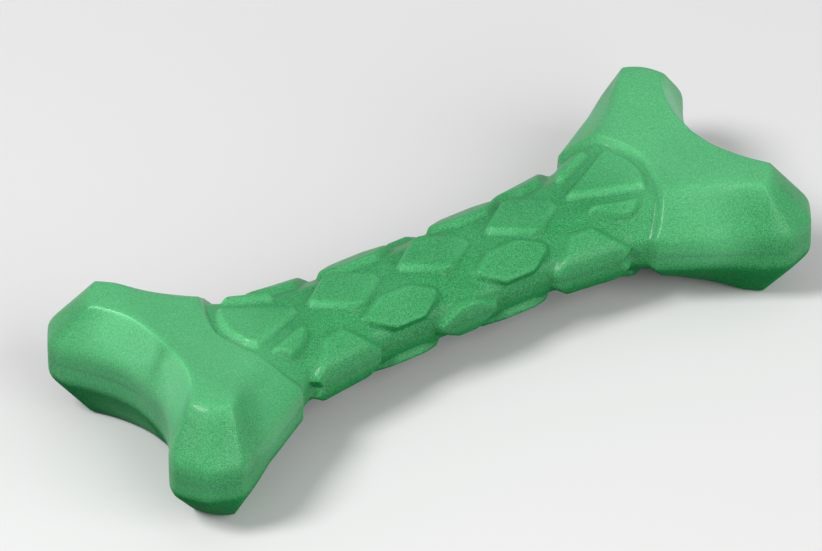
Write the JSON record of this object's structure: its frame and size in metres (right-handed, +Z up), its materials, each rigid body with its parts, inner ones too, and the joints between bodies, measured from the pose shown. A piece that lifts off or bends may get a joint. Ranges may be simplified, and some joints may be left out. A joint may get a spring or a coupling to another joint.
{
  "type": "bone-shaped dog toy",
  "caption": "Hollow soft rubber chew toy shaped like a bone, with raised lozenge plates round its shaft, forked smooth ends and a reed squeaker inside.",
  "frame": {"origin": "middle of the toy's footprint, on the surface that the flats of its four arms stand on", "axes": "+X along the bone, +Y across it, +Z up, square to the parting plane"},
  "size_m": [0.17, 0.07, 0.0304],
  "materials": {
    "green_rubber": "satin, translucent",
    "squeaker_plastic": "matt",
    "reed_film": "smooth film"
  },
  "bodies": {
    "toy": {"upper_shell": "green_rubber", "lower_shell": "green_rubber", "squeaker_cup": "squeaker_plastic", "squeaker_cap": "squeaker_plastic", "reed_holder": "squeaker_plastic"},
    "reed": {"squeaker_reed": "reed_film"}
  },
  "joints": [
    {"name": "reed_flex", "type": "hinge", "parent": "toy", "child": "reed", "pos_m": [0.052, 0, 0.01385], "axis": [0, -1, 0], "range_deg": [0, 6], "stiffness_Nm_per_rad": 0.003}
  ]
}
